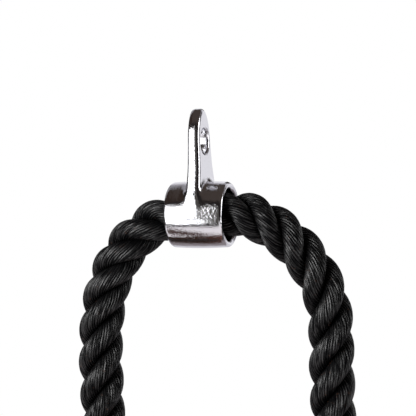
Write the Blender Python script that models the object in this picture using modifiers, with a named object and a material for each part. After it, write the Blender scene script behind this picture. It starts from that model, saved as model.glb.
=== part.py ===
"""Triceps rope attachment: a plated tee collar that hangs by its eye, with a thick twisted rope
running loosely through it and a moulded stopper on each rope end.

Metres, +Z up. The origin is the middle of the eye, +X runs along the collar to the right and the
front faces -Y. The rope's own lay is left to the visual model, so here each stretch of rope is a
plain round tube.
"""
import math

import bmesh
import bpy
import numpy as np
from mathutils import Matrix, Vector

# Rope, and the bore it lies loose in
ROPE_LENGTH = 0.700
ROPE_RADIUS = 0.0150
BORE_CLEARANCE = 0.00235
# How far the rope lies off the bore's axis at each mouth, as shares of the clearance
LEFT_REST_SHARE = -0.77
RIGHT_REST_SHARE = 0.26

# Collar and lug
COLLAR_LENGTH = 0.0400
COLLAR_WALL = 0.00465
COLLAR_DROP = 0.0486
RIM_ROUND_SHARE = 0.60
MOUTH_ROUND_SHARE = 0.26
LUG_SINK_SHARE = 0.47
TOUCH_SHARE = 0.12
LUG_THICKNESS = 0.0080
LUG_TOP = 0.0215
LUG_HALF_WIDTH = 0.0135
LUG_CROWN = 0.0238
LUG_FOOT_HALF_WIDTH = 0.0158
LUG_FLARE = 0.0080
LUG_FILLET = 0.0050
LUG_EDGE_ROUND = 0.0012
EYE_RADIUS = 0.0085
EYE_CHAMFER = 0.0007

# Each leg of the rope turns this far outside the collar's mouth
JOINT_OUTSIDE = 0.0018
SQUARE_RUN = 0.0020
# Route of each leg from the photo, outwards and upwards from the collar's middle
RIGHT_ROUTE = [
    (0.0361, -0.0022),
    (0.0515, -0.0105),
    (0.0657, -0.0235),
    (0.0769, -0.0395),
    (0.0833, -0.0566),
    (0.0853, -0.0753),
    (0.0850, -0.0986),
]
LEFT_ROUTE = [
    (0.0338, -0.0056),
    (0.0467, -0.0145),
    (0.0579, -0.0272),
    (0.0661, -0.0421),
    (0.0718, -0.0600),
    (0.0746, -0.0793),
    (0.0758, -0.1016),
]
BEND_STEP = 0.0080
LEG_STEP = 0.0600

# Ends of the rope
FIT_GAP = 0.0003
SLEEVE_WALL = 0.0012
SLEEVE_ABOVE_STOPPER = 0.0220
STOPPER_HEIGHT = 0.0520
STOPPER_WALL = 0.0084
STOPPER_MOUTH_CHAMFER = 0.0007
POCKET_DEPTH = 0.0130
POCKET_CLEARANCE = 0.0016
WASHER_BEARING = 0.0032
WASHER_HOLE_CLEARANCE = 0.0006
WASHER_THICKNESS = 0.0025
WASHER_ROUND = 0.0004
SCREW_HEAD_RADIUS = 0.0075
SCREW_HEAD_HEIGHT = 0.0045
SCREW_HEAD_ROUND = 0.0012
SCREW_SHANK_RADIUS = 0.0038
SCREW_LENGTH = 0.0500
SCREW_POINT = 0.0070
SCREW_TIP_RADIUS = 0.0006
SOCKET_RADIUS = 0.0029
SOCKET_DEPTH = 0.0025
CAP_THICKNESS = 0.0030
CAP_INSET = 0.0010
CAP_ROUND = 0.0007
CAP_DIMPLE_RADIUS = 0.0130
CAP_DIMPLE_DEPTH = 0.0008
# Outer outline of a stopper, from its flat bottom up: share of the way from the bore's wall to
# the widest radius, and share of the height
STOPPER_OUTLINE_SHARES = [
    (0.71, 0.000),
    (0.86, 0.013),
    (0.95, 0.046),
    (0.985, 0.100),
    (1.00, 0.183),
    (0.98, 0.269),
    (0.90, 0.356),
    (0.77, 0.438),
    (0.61, 0.515),
    (0.47, 0.596),
    (0.36, 0.683),
    (0.30, 0.769),
    (0.29, 0.846),
    (0.34, 0.881),
    (0.38, 0.919),
    (0.36, 0.962),
    (0.29, 0.990),
    (0.18, 1.000),
]
HAIR = 0.00001

# Smoothness, as counts
COLLAR_STEPS = 72
RIDGE_STEPS = 66
RIDGE_TURN_SHARE = 0.37
EYE_STEPS = 40
CROWN_POINTS = 22
FLARE_POINTS = 6
FILLET_POINTS = 6
ROUND_POINTS = 4
STOPPER_STEPS = 48
SMALL_STEPS = 32
HEX_SIDES = 6
SPLINE_SAMPLES = 600
ROPE_BEVEL_RESOLUTION = 4
EDGE_SEGMENTS = 2

EDGE_ANGLE = math.radians(60)

for old in list(bpy.data.objects):
    bpy.data.objects.remove(old, do_unlink=True)

product = bpy.data.collections.new("triceps_rope_attachment")
cutters = bpy.data.collections.new("cutters")
bpy.context.scene.collection.children.link(product)
bpy.context.scene.collection.children.link(cutters)


def material(name, colour, roughness, metallic):
    """A plain material of its own for one node."""
    made = bpy.data.materials.new(name)
    made.use_nodes = True
    shader = made.node_tree.nodes["Principled BSDF"]
    shader.inputs["Base Color"].default_value = (*colour, 1)
    shader.inputs["Roughness"].default_value = roughness
    shader.inputs["Metallic"].default_value = metallic
    return made


CHROME = ((0.70, 0.70, 0.72), 0.12, 1)
ROPE = ((0.012, 0.012, 0.014), 0.55, 0)
SHRINK = ((0.010, 0.010, 0.010), 0.35, 0)
RUBBER = ((0.018, 0.018, 0.018), 0.60, 0)
ZINC = ((0.55, 0.56, 0.58), 0.35, 1)
PLASTIC = ((0.022, 0.022, 0.023), 0.45, 0)


def add_object(name, data, look=None):
    """Put the data into the product as a named object with its own material."""
    made = bpy.data.objects.new(name, data)
    product.objects.link(made)
    if look:
        data.materials.append(material(name + "_finish", *look))
    return made


def turned(name, outline, look, steps, axis="Z"):
    """A body turned from a closed outline of (radius, place along the axis)."""
    mesh = bpy.data.meshes.new(name)
    if axis == "X":
        points = [(along, 0, radius) for radius, along in outline]
    else:
        points = [(radius, 0, along) for radius, along in outline]
    on_axis = outline[0][0] == 0
    edges = [(i, i + 1) for i in range(len(points) - 1)]
    if not on_axis:
        edges.append((len(points) - 1, 0))
    mesh.from_pydata(points, edges, [])
    made = add_object(name, mesh, look)
    turn = made.modifiers.new("Turn", "SCREW")
    turn.axis = axis
    turn.angle = math.tau
    turn.steps = steps
    turn.render_steps = steps
    turn.use_merge_vertices = True
    turn.merge_threshold = HAIR
    turn.use_normal_calculate = False
    turn.use_normal_flip = True
    return made


def cut(target, cutter, operation="DIFFERENCE"):
    """Cut the target with the cutter, or join the two into one body."""
    step = target.modifiers.new(cutter.name, "BOOLEAN")
    step.operation = operation
    step.solver = "EXACT"
    step.object = cutter
    for home in list(cutter.users_collection):
        home.objects.unlink(cutter)
    cutters.objects.link(cutter)
    cutter.hide_render = True
    cutter.display_type = "WIRE"


def corner(middle, radius, first, last, count=ROUND_POINTS):
    """Points on a round corner, as (across, along), from the first to the last angle."""
    points = []
    for i in range(count + 1):
        angle = math.radians(first + (last - first) * i / count)
        points.append((middle[0] + radius * math.cos(angle), middle[1] + radius * math.sin(angle)))
    return points


def smooth_route(knots, first_way, last_way):
    """Points read from one smooth curve through the knots, with the ways at its two ends."""
    knots = np.array(knots)
    runs = np.linalg.norm(np.diff(knots, axis=0), axis=1)
    slopes = np.diff(knots, axis=0) / runs[:, None]
    count = len(knots)
    rows = np.zeros((count, count))
    sums = np.zeros((count, 2))
    rows[0, 0] = 2 * runs[0]
    rows[0, 1] = runs[0]
    sums[0] = 6 * (slopes[0] - np.array(first_way))
    for i in range(1, count - 1):
        rows[i, i - 1] = runs[i - 1]
        rows[i, i] = 2 * (runs[i - 1] + runs[i])
        rows[i, i + 1] = runs[i]
        sums[i] = 6 * (slopes[i] - slopes[i - 1])
    rows[-1, -2] = runs[-1]
    rows[-1, -1] = 2 * runs[-1]
    sums[-1] = 6 * (np.array(last_way) - slopes[-1])
    bends = np.linalg.solve(rows, sums)
    starts = np.concatenate(([0], np.cumsum(runs)))
    points = []
    for at in np.linspace(0, starts[-1], SPLINE_SAMPLES):
        i = min(int(np.searchsorted(starts, at, side="right")) - 1, count - 2)
        ahead = starts[i + 1] - at
        behind = at - starts[i]
        run = runs[i]
        points.append(
            bends[i] * ahead**3 / (6 * run)
            + bends[i + 1] * behind**3 / (6 * run)
            + (knots[i] / run - bends[i] * run / 6) * ahead
            + (knots[i + 1] / run - bends[i + 1] * run / 6) * behind
        )
    return np.array(points)


def tube(name, points, radius, look):
    """A closed round tube along the points, welded at its caps."""
    curve = bpy.data.curves.new(name, "CURVE")
    curve.dimensions = "3D"
    curve.bevel_depth = radius
    curve.bevel_resolution = ROPE_BEVEL_RESOLUTION
    curve.use_fill_caps = True
    spline = curve.splines.new("POLY")
    spline.points.add(len(points) - 1)
    for point, place in zip(spline.points, points):
        point.co = (*place, 1)
    return add_object(name, curve, look)


# Sleeve of the collar, turned about its own axis
half_length = COLLAR_LENGTH / 2
bore_radius = ROPE_RADIUS + BORE_CLEARANCE
collar_radius = bore_radius + COLLAR_WALL
rim_round = COLLAR_WALL * RIM_ROUND_SHARE
mouth_round = COLLAR_WALL * MOUTH_ROUND_SHARE
rim_across = collar_radius - rim_round
mouth_across = bore_radius + mouth_round
collar_outline = (
    corner((mouth_across, mouth_round - half_length), mouth_round, 180, 270)
    + corner((rim_across, rim_round - half_length), rim_round, 270, 360)
    + corner((rim_across, half_length - rim_round), rim_round, 0, 90)
    + corner((mouth_across, half_length - mouth_round), mouth_round, 90, 180)
)
collar = turned("hanger_collar", collar_outline, CHROME, COLLAR_STEPS, axis="X")
collar.location = (0, 0, -COLLAR_DROP)

# Lug: half an ellipse on top, sides that widen downwards, a flare that runs into the sleeve
lug_sink = COLLAR_WALL * LUG_SINK_SHARE
touch = lug_sink * TOUCH_SHARE


def lug_outline(inset, sink):
    """The lug's outline of (across, up), drawn in by the inset, with its foot sunk in the sleeve."""
    crown_base = LUG_TOP - LUG_CROWN
    skin = collar_radius - touch
    flare_across = LUG_FOOT_HALF_WIDTH + LUG_FLARE - inset
    flare_up = math.sqrt((skin + LUG_FLARE) ** 2 - flare_across**2)
    flare_end = math.degrees(math.atan2(-flare_up, -flare_across)) % 360
    side = []
    for i in range(CROWN_POINTS + 1):
        lean = math.pi / 2 * i / CROWN_POINTS
        half_width = (LUG_HALF_WIDTH - inset) * math.sin(lean)
        side.append((half_width, crown_base + (LUG_CROWN - inset) * math.cos(lean)))
    side += corner((flare_across, flare_up - COLLAR_DROP), LUG_FLARE, 180, flare_end, FLARE_POINTS)
    foot_angle = math.atan2(side[-1][0], side[-1][1] + COLLAR_DROP)
    foot_radius = collar_radius - sink
    foot = []
    for i in range(2 * FLARE_POINTS + 1):
        lean = foot_angle * (1 - i / FLARE_POINTS)
        foot.append((foot_radius * math.sin(lean), foot_radius * math.cos(lean) - COLLAR_DROP))
    return side + foot + [(-across, up) for across, up in reversed(side[1:])]


def plate(name, outline, thickness):
    """A flat plate with this outline of (across, up), centred on the collar's middle."""
    mesh = bpy.data.meshes.new(name)
    mesh.from_pydata([(0, across, up) for across, up in outline], [], [list(range(len(outline)))])
    made = add_object(name, mesh)
    thick = made.modifiers.new("Thickness", "SOLIDIFY")
    thick.thickness = thickness
    thick.offset = 0
    return made


half_thick = LUG_THICKNESS / 2
lug = plate("lug", lug_outline(0, lug_sink), LUG_THICKNESS)
edge = lug.modifiers.new("Edges", "BEVEL")
edge.width = LUG_EDGE_ROUND
edge.segments = EDGE_SEGMENTS
edge.limit_method = "ANGLE"
edge.angle_limit = EDGE_ANGLE
cut(collar, lug, "UNION")

# Fillets beside the lug: a ridge round the sleeve with hollow sides, cut just inside the outline
fillet_across = collar_radius - touch + LUG_FILLET
fillet_along = half_thick - touch + LUG_FILLET
ridge_foot = collar_radius - lug_sink - touch
ridge_outline = (
    [(ridge_foot, fillet_along)]
    + corner((fillet_across, fillet_along), LUG_FILLET, 180, 270, FILLET_POINTS)
    + corner((fillet_across, -fillet_along), LUG_FILLET, 90, 180, FILLET_POINTS)
    + [(ridge_foot, -fillet_along)]
)
ridge_outline.reverse()
ridge = turned("fillet_ridge", ridge_outline, None, RIDGE_STEPS, axis="X")
ridge.location = collar.location
ridge.rotation_euler = (math.tau / RIDGE_STEPS * RIDGE_TURN_SHARE, 0, 0)
ridge_block = plate("ridge_block", lug_outline(touch, lug_sink / 2), 4 * fillet_along)
cut(ridge, ridge_block, "INTERSECT")
cut(collar, ridge, "UNION")

# Eye, with a small chamfer at both faces of the lug
eye_outline = [
    (0, -LUG_THICKNESS),
    (EYE_RADIUS + EYE_CHAMFER, -LUG_THICKNESS),
    (EYE_RADIUS + EYE_CHAMFER, -half_thick),
    (EYE_RADIUS, EYE_CHAMFER - half_thick),
    (EYE_RADIUS, half_thick - EYE_CHAMFER),
    (EYE_RADIUS + EYE_CHAMFER, half_thick),
    (EYE_RADIUS + EYE_CHAMFER, LUG_THICKNESS),
    (0, LUG_THICKNESS),
]
cut(collar, turned("eye_cutter", eye_outline, None, EYE_STEPS, axis="X"))

# Rope: a straight stretch through the bore, and a bend and a leg on each side
left_rest = BORE_CLEARANCE * LEFT_REST_SHARE
right_rest = BORE_CLEARANCE * RIGHT_REST_SHARE
rope_way = np.array((COLLAR_LENGTH, right_rest - left_rest))
rope_way = rope_way / np.linalg.norm(rope_way)
rope_middle = np.array((0, (right_rest + left_rest) / 2))
joint_run = (half_length + JOINT_OUTSIDE) / rope_way[0]


def world(point, side=1):
    """A point of a route, outwards and upwards from the collar's middle, in the part's frame."""
    return Vector((side * point[0], 0, point[1] - COLLAR_DROP))


turn_pivot = bpy.data.objects.new("rope_pivot", None)
product.objects.link(turn_pivot)
turn_pivot.location = world(rope_middle)


def carried(piece, pivot):
    """Hang a piece on its pivot without moving it."""
    piece.parent = pivot
    piece.matrix_parent_inverse = Matrix.Translation(-pivot.location)


# The stretch through the bore stops short of the two bends
bore_run = rope_way * (joint_run - FIT_GAP)
bore_ends = [world(rope_middle - bore_run), world(rope_middle + bore_run)]
carried(tube("rope_in_collar", bore_ends, ROPE_RADIUS, ROPE), turn_pivot)

for side, name, route in ((-1, "left", LEFT_ROUTE), (1, "right", RIGHT_ROUTE)):
    start_way = rope_way * np.array((1, side))
    start = rope_middle + start_way * joint_run
    pivot = bpy.data.objects.new(name + "_pivot", None)
    product.objects.link(pivot)
    pivot.location = world(start, side)

    square_end = start + start_way * SQUARE_RUN
    curve_points = smooth_route([square_end] + route, start_way, (0, -1))
    lengths = np.concatenate(([0], np.cumsum(np.linalg.norm(np.diff(curve_points, axis=0), axis=1))))
    bend_count = round(lengths[-1] / BEND_STEP)
    stations = np.linspace(0, lengths[-1], bend_count + 1)
    across = np.interp(stations, lengths, curve_points[:, 0])
    up = np.interp(stations, lengths, curve_points[:, 1])
    line = [start] + list(zip(across, up))
    straight = ROPE_LENGTH / 2 - joint_run - SQUARE_RUN - lengths[-1]
    leg_count = round(straight / LEG_STEP)
    for i in range(1, leg_count + 1):
        line.append((across[-1], up[-1] - straight * i / leg_count))
    rope = tube(name + "_rope", [world(point, side) for point in line], ROPE_RADIUS, ROPE)
    print(name, "bend", round(lengths[-1], 4), "leg", round(straight, 4), "end", line[-1])

    # The rope's end takes the screw, so the tube is made a mesh and bored
    graph = bpy.context.evaluated_depsgraph_get()
    rope_mesh = bpy.data.meshes.new_from_object(rope.evaluated_get(graph))
    bpy.data.objects.remove(rope, do_unlink=True)
    welded = bmesh.new()
    welded.from_mesh(rope_mesh)
    bmesh.ops.remove_doubles(welded, verts=welded.verts, dist=HAIR)
    welded.to_mesh(rope_mesh)
    welded.free()
    rope = add_object(name + "_rope", rope_mesh)
    carried(rope, pivot)

    leg_end = world(line[-1], side)
    bottom = leg_end.z - POCKET_DEPTH
    axis_place = Vector((leg_end.x, 0, bottom))

    bore = [
        (0, POCKET_DEPTH - WASHER_THICKNESS),
        (SCREW_SHANK_RADIUS + FIT_GAP, POCKET_DEPTH - WASHER_THICKNESS),
        (SCREW_SHANK_RADIUS + FIT_GAP, POCKET_DEPTH + SCREW_LENGTH),
        (0, POCKET_DEPTH + SCREW_LENGTH),
    ]
    bore_cutter = turned(name + "_screw_bore_cutter", bore, None, SMALL_STEPS)
    bore_cutter.location = axis_place
    cut(rope, bore_cutter)

    def on_leg(piece):
        """Set a turned piece on the leg's axis and hang it on the leg's pivot."""
        piece.location = axis_place
        carried(piece, pivot)

    # Shrink sleeve round the rope's end
    sleeve_in = ROPE_RADIUS + FIT_GAP
    sleeve_out = sleeve_in + SLEEVE_WALL
    sleeve_top = STOPPER_HEIGHT + SLEEVE_ABOVE_STOPPER
    sleeve_soft = SLEEVE_WALL / 3
    sleeve_outline = [
        (sleeve_in, POCKET_DEPTH),
        (sleeve_out, POCKET_DEPTH),
        (sleeve_out, sleeve_top - sleeve_soft),
        (sleeve_out - sleeve_soft, sleeve_top),
        (sleeve_in, sleeve_top),
    ]
    on_leg(turned(name + "_shrink_sleeve", sleeve_outline, SHRINK, STOPPER_STEPS))

    # Moulded stopper: the rope's bore from the top, a wider pocket from the bottom
    stopper_bore = sleeve_out + FIT_GAP
    washer_radius = stopper_bore + WASHER_BEARING
    pocket_radius = washer_radius + POCKET_CLEARANCE
    bulge = pocket_radius + STOPPER_WALL - stopper_bore
    stopper_skin = [
        (stopper_bore + bulge * out, STOPPER_HEIGHT * up) for out, up in STOPPER_OUTLINE_SHARES
    ]
    stopper_outline = stopper_skin + [
        (stopper_bore + STOPPER_MOUTH_CHAMFER, STOPPER_HEIGHT),
        (stopper_bore, STOPPER_HEIGHT - STOPPER_MOUTH_CHAMFER),
        (stopper_bore, POCKET_DEPTH),
        (pocket_radius, POCKET_DEPTH),
        (pocket_radius, STOPPER_MOUTH_CHAMFER),
        (pocket_radius + STOPPER_MOUTH_CHAMFER, 0),
    ]
    on_leg(turned(name + "_stopper", stopper_outline, RUBBER, STOPPER_STEPS))

    # Washer under the rope's end and the stopper's shoulder
    washer_hole = SCREW_SHANK_RADIUS + WASHER_HOLE_CLEARANCE
    washer_top = POCKET_DEPTH - FIT_GAP
    washer_bottom = washer_top - WASHER_THICKNESS
    washer_outline = [
        (washer_hole, washer_bottom),
        (washer_radius - WASHER_ROUND, washer_bottom),
        (washer_radius, washer_bottom + WASHER_ROUND),
        (washer_radius, washer_top - WASHER_ROUND),
        (washer_radius - WASHER_ROUND, washer_top),
        (washer_hole, washer_top),
    ]
    on_leg(turned(name + "_washer", washer_outline, ZINC, STOPPER_STEPS))

    # Screw driven up the middle of the rope's end
    head_top = washer_bottom - FIT_GAP
    head_bottom = head_top - SCREW_HEAD_HEIGHT
    tip = POCKET_DEPTH + SCREW_LENGTH - FIT_GAP
    screw_outline = [
        (0, head_bottom),
        (SCREW_HEAD_RADIUS - SCREW_HEAD_ROUND, head_bottom),
        (SCREW_HEAD_RADIUS, head_bottom + SCREW_HEAD_ROUND),
        (SCREW_HEAD_RADIUS, head_top),
        (SCREW_SHANK_RADIUS, head_top),
        (SCREW_SHANK_RADIUS, tip - SCREW_POINT),
        (SCREW_TIP_RADIUS, tip),
        (0, tip),
    ]
    screw = turned(name + "_screw", screw_outline, ZINC, SMALL_STEPS)
    on_leg(screw)
    socket_outline = [
        (0, head_bottom - SOCKET_DEPTH),
        (SOCKET_RADIUS, head_bottom - SOCKET_DEPTH),
        (SOCKET_RADIUS, head_bottom + SOCKET_DEPTH),
        (0, head_bottom + SOCKET_DEPTH),
    ]
    socket = turned(name + "_socket_cutter", socket_outline, None, HEX_SIDES)
    socket.location = axis_place
    cut(screw, socket)

    # Cap pressed into the stopper's pocket, with a shallow dimple
    cap_radius = pocket_radius - FIT_GAP
    cap_top = CAP_INSET + CAP_THICKNESS
    cap_outline = [
        (0, CAP_INSET + CAP_DIMPLE_DEPTH),
        (CAP_DIMPLE_RADIUS, CAP_INSET + CAP_DIMPLE_DEPTH),
        (CAP_DIMPLE_RADIUS + CAP_DIMPLE_DEPTH, CAP_INSET),
        (cap_radius - CAP_ROUND, CAP_INSET),
        (cap_radius, CAP_INSET + CAP_ROUND),
        (cap_radius, cap_top),
        (0, cap_top),
    ]
    on_leg(turned(name + "_end_cap", cap_outline, PLASTIC, STOPPER_STEPS))

print("objects", len(product.objects))
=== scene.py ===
"""Looks of the triceps rope attachment: plated tee collar, laid black rope, moulded ends."""
import math

import bmesh
import bpy
import numpy as np
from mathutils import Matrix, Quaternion, Vector


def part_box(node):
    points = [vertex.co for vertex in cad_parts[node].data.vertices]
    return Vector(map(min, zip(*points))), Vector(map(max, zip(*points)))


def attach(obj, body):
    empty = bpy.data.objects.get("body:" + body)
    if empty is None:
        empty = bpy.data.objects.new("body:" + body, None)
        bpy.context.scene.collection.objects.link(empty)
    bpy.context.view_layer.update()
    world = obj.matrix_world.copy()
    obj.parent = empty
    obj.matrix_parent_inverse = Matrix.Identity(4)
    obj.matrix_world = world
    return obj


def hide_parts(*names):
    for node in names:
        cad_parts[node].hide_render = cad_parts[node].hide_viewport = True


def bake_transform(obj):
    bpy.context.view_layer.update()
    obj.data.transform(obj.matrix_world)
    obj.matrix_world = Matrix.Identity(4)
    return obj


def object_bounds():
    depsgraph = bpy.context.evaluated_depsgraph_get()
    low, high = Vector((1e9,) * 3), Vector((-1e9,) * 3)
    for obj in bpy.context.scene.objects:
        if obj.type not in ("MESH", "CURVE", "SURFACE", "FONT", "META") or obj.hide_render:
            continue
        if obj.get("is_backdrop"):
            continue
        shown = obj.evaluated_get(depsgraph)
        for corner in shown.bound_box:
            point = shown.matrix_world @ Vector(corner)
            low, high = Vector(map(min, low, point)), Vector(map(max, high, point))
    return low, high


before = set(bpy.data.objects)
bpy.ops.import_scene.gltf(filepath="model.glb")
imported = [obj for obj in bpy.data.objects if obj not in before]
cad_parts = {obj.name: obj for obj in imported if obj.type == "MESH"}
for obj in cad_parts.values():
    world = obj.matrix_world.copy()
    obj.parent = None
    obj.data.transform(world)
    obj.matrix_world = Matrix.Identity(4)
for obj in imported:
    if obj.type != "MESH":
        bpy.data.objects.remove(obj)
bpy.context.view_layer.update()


# Hanger collar: a steel forging with an upright lug and eye on a short sleeve, bright plated.
# The die and the polishing leave every edge round, and the lug runs into the sleeve in one
# hollow curve. The plate follows the forging's grain, so its reflections break up at their edges.
COLLAR_DROP = 0.0486
COLLAR_LENGTH = 0.0400
COLLAR_RADIUS = 0.0220
BORE_RADIUS = 0.01735
RIM_ROUND = 0.0024
SLEEVE_CROWN = 0.0007
MOUTH_ROUND = 0.0016
LUG_THICKNESS = 0.0080
LUG_TOP = 0.0215
LUG_HALF_WIDTH = 0.0135
LUG_CROWN = 0.0238
LUG_WIDENING = 0.083
LUG_DRAFT = 0.022
LUG_EDGE_ROUND = 0.0025
LUG_FILLET = 0.0052
WEB_TOP = -0.0120
WEB_RUN = 0.0100
WEB_SLOPE = 0.20
WEB_HALF_WIDTH = 0.0219
WEB_BLEND = 0.0030
EYE_RADIUS = 0.0085
EYE_ROUND = 0.0009
SKIN_VOXEL = 0.00045
SKIN_PASSES = 14
PASS_SHARE = 0.9
SLOPE_STEP = 1e-6
LEAST_STEEPNESS = 0.25


def to_linear(hex_colour):
    """An sRGB hex colour as linear red, green, blue and alpha."""
    parts = [int(hex_colour[i : i + 2], 16) / 255 for i in (1, 3, 5)]
    return [c / 12.92 if c <= 0.04045 else ((c + 0.055) / 1.055) ** 2.4 for c in parts] + [1]


def add_node(tree, kind, inputs=None, **settings):
    """Add a node with its settings, and fill or link its inputs by name or number."""
    node = tree.nodes.new(kind)
    for name, value in settings.items():
        setattr(node, name, value)
    for name, value in (inputs or {}).items():
        if isinstance(value, bpy.types.NodeSocket):
            tree.links.new(value, node.inputs[name])
        else:
            node.inputs[name].default_value = value
    return node


def new_finish(name):
    """A material with its Principled shader, and the place on the piece in metres."""
    finish = bpy.data.materials.new(name)
    finish.use_nodes = True
    place = add_node(finish.node_tree, "ShaderNodeTexCoord").outputs["Object"]
    return finish, finish.node_tree, finish.node_tree.nodes["Principled BSDF"], place


def put(name, data):
    """An object with this data, in the scene."""
    made = bpy.data.objects.new(name, data)
    bpy.context.collection.objects.link(made)
    return made


def soft_least(a, b, reach):
    """The smaller of two distances, rounded where they are within reach of each other."""
    near = np.maximum(reach - np.abs(a - b), 0) / reach
    return np.minimum(a, b) - near * near * reach / 4


def forging(points):
    """Distance from the points to the skin of the forging, negative inside it."""
    x, y, z = points[:, 0], points[:, 1], points[:, 2]
    from_axis = np.hypot(y, z + COLLAR_DROP)
    crown = SLEEVE_CROWN * (2 * x / COLLAR_LENGTH) ** 2
    past_end = np.abs(x) - COLLAR_LENGTH / 2 + RIM_ROUND
    past_side = from_axis - COLLAR_RADIUS + crown + RIM_ROUND
    sleeve = np.hypot(np.maximum(past_end, 0), np.maximum(past_side, 0)) - RIM_ROUND
    sleeve += np.minimum(np.maximum(past_end, past_side), 0)

    # Lug outline: an oval crown on sides that widen slowly, then run out on the sleeve's front
    crown_base = LUG_TOP - LUG_CROWN
    below = np.maximum(WEB_TOP - z, 0)
    web = WEB_SLOPE * np.where(below < WEB_RUN, below**2 / (2 * WEB_RUN), below - WEB_RUN / 2)
    half_width = LUG_HALF_WIDTH + LUG_WIDENING * np.maximum(crown_base - z, 0) + web
    half_width = soft_least(half_width, np.full_like(z, WEB_HALF_WIDTH), WEB_BLEND)
    across = y / half_width
    along = np.maximum(z - crown_base, 0) / LUG_CROWN
    ring = np.sqrt(across**2 + along**2) + 1e-9
    steepness = np.sqrt((across / half_width) ** 2 + (along / LUG_CROWN) ** 2) / ring + 1e-9
    outline = np.maximum((ring - 1) / steepness, -COLLAR_DROP - z)

    # The sides' hollow curve down to the sleeve stays inside the same outline
    half_thickness = LUG_THICKNESS / 2 + LUG_DRAFT * np.maximum(-z, 0)
    flank = soft_least(sleeve, np.abs(x) - half_thickness, LUG_FILLET)
    lug = -soft_least(-flank, -outline, LUG_EDGE_ROUND * 1.2)
    solid = soft_least(sleeve, lug, WEB_BLEND / 3)
    bored = -soft_least(-solid, from_axis - BORE_RADIUS, MOUTH_ROUND * 2)
    return -soft_least(-bored, np.hypot(y, z) - EYE_RADIUS, EYE_ROUND * 2)


def plated_steel():
    """Bright plate on a forging: a mirror with the fine dimples of the steel under it."""
    finish, tree, shader, place = new_finish("plated_steel")
    shader.inputs["Base Color"].default_value = to_linear("#E6E6EA")
    shader.inputs["Metallic"].default_value = 1
    # Dimples of about 1 mm, closer together round the sleeve, and a slow waviness from polishing
    closer = add_node(
        tree, "ShaderNodeVectorMath", {0: place, 1: (0.85, 1.5, 1.5)}, operation="MULTIPLY"
    )
    dimples = add_node(
        tree, "ShaderNodeTexNoise", {"Vector": closer.outputs[0], "Scale": 900, "Detail": 1.5}
    )
    waves = add_node(tree, "ShaderNodeTexNoise", {"Vector": place, "Scale": 160, "Detail": 1})
    slow = add_node(tree, "ShaderNodeBump", {"Height": waves.outputs["Fac"], "Distance": 0.00010})
    fine = add_node(
        tree,
        "ShaderNodeBump",
        {"Height": dimples.outputs["Fac"], "Distance": 0.00009, "Normal": slow.outputs[0]},
    )
    tree.links.new(fine.outputs["Normal"], shader.inputs["Normal"])
    rough = add_node(
        tree,
        "ShaderNodeMapRange",
        {"Value": dimples.outputs["Fac"], "To Min": 0.05, "To Max": 0.13},
    )
    tree.links.new(rough.outputs["Result"], shader.inputs["Roughness"])
    return finish


collar = put("collar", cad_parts["hanger_collar"].data.copy())
loose = bmesh.new()
loose.from_mesh(collar.data)
bmesh.ops.remove_doubles(loose, verts=loose.verts, dist=1e-6)
loose.to_mesh(collar.data)
loose.free()
skin = collar.modifiers.new("Skin", "REMESH")
skin.mode = "VOXEL"
skin.voxel_size = SKIN_VOXEL
skinned = bpy.data.meshes.new_from_object(
    collar.evaluated_get(bpy.context.evaluated_depsgraph_get())
)
collar.modifiers.clear()
collar.data = skinned
spots = np.zeros(len(skinned.vertices) * 3)
skinned.vertices.foreach_get("co", spots)
spots = spots.reshape(-1, 3)
# The remeshed skin is drawn onto the forging's own curves, a little closer with each pass
nudges = SLOPE_STEP * np.eye(3)
for _ in range(SKIN_PASSES):
    away = forging(spots)
    slope = np.stack([forging(spots + nudge) - away for nudge in nudges], axis=1) / SLOPE_STEP
    steepness = np.maximum((slope**2).sum(axis=1), LEAST_STEEPNESS)
    spots -= (PASS_SHARE * away / steepness)[:, None] * slope
skinned.vertices.foreach_set("co", spots.ravel())
skinned.update()
skinned.shade_smooth()
skinned.materials.clear()
skinned.materials.append(plated_steel())
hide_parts("hanger_collar")
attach(collar, "hanger")


# Rope: one length of black nylon, three strands laid right-handed, each of twenty yarns.
# It runs loosely through the collar and hangs down on both sides. Each half is one mesh,
# from the collar's middle to the rope's end, and bends where its leg leaves the collar.
ROPE_LENGTH = 0.700
# What the laying is given
LAY_INPUTS = [
    ("Strands", "Int", 3),
    ("Strand offset", "Float", 0.0086),
    ("Strand height", "Float", 0.0064),
    ("Strand width", "Float", 0.0068),
    ("Strand fullness", "Float", 2.12),
    ("Yarns", "Int", 20),
    ("Yarn depth", "Float", 0.12),
    ("Yarn twist", "Float", 2.4),
]
# What its points carry until it is done
LAY_LAYERS = [
    ("lay_angle", "FLOAT"),
    ("outer", "FLOAT_VECTOR"),
    ("rope_way", "FLOAT_VECTOR"),
    ("rope_length", "FLOAT"),
    ("out", "FLOAT_VECTOR"),
    ("strand_middle", "FLOAT_VECTOR"),
    ("sideways", "FLOAT_VECTOR"),
    ("upright", "FLOAT_VECTOR"),
    ("round", "FLOAT"),
]
STRAND_PITCH = 0.0226
ROPE_STEP = 0.00098
BORE_TILT = [(-0.0200, -0.0018095), (0.0200, 0.000611)]
JOINT_OUTSIDE = 0.0018
SQUARE_RUN = 0.0020
CURVE_POINTS = 600
SIDES = (("left", -1), ("right", 1))
ROUTES = {
    "right": [
        (0.0361, -0.0022),
        (0.0515, -0.0105),
        (0.0657, -0.0235),
        (0.0769, -0.0395),
        (0.0833, -0.0566),
        (0.0853, -0.0753),
        (0.0850, -0.0986),
    ],
    "left": [
        (0.0338, -0.0056),
        (0.0467, -0.0145),
        (0.0579, -0.0272),
        (0.0661, -0.0421),
        (0.0718, -0.0600),
        (0.0746, -0.0793),
        (0.0758, -0.1016),
    ],
}
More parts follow.
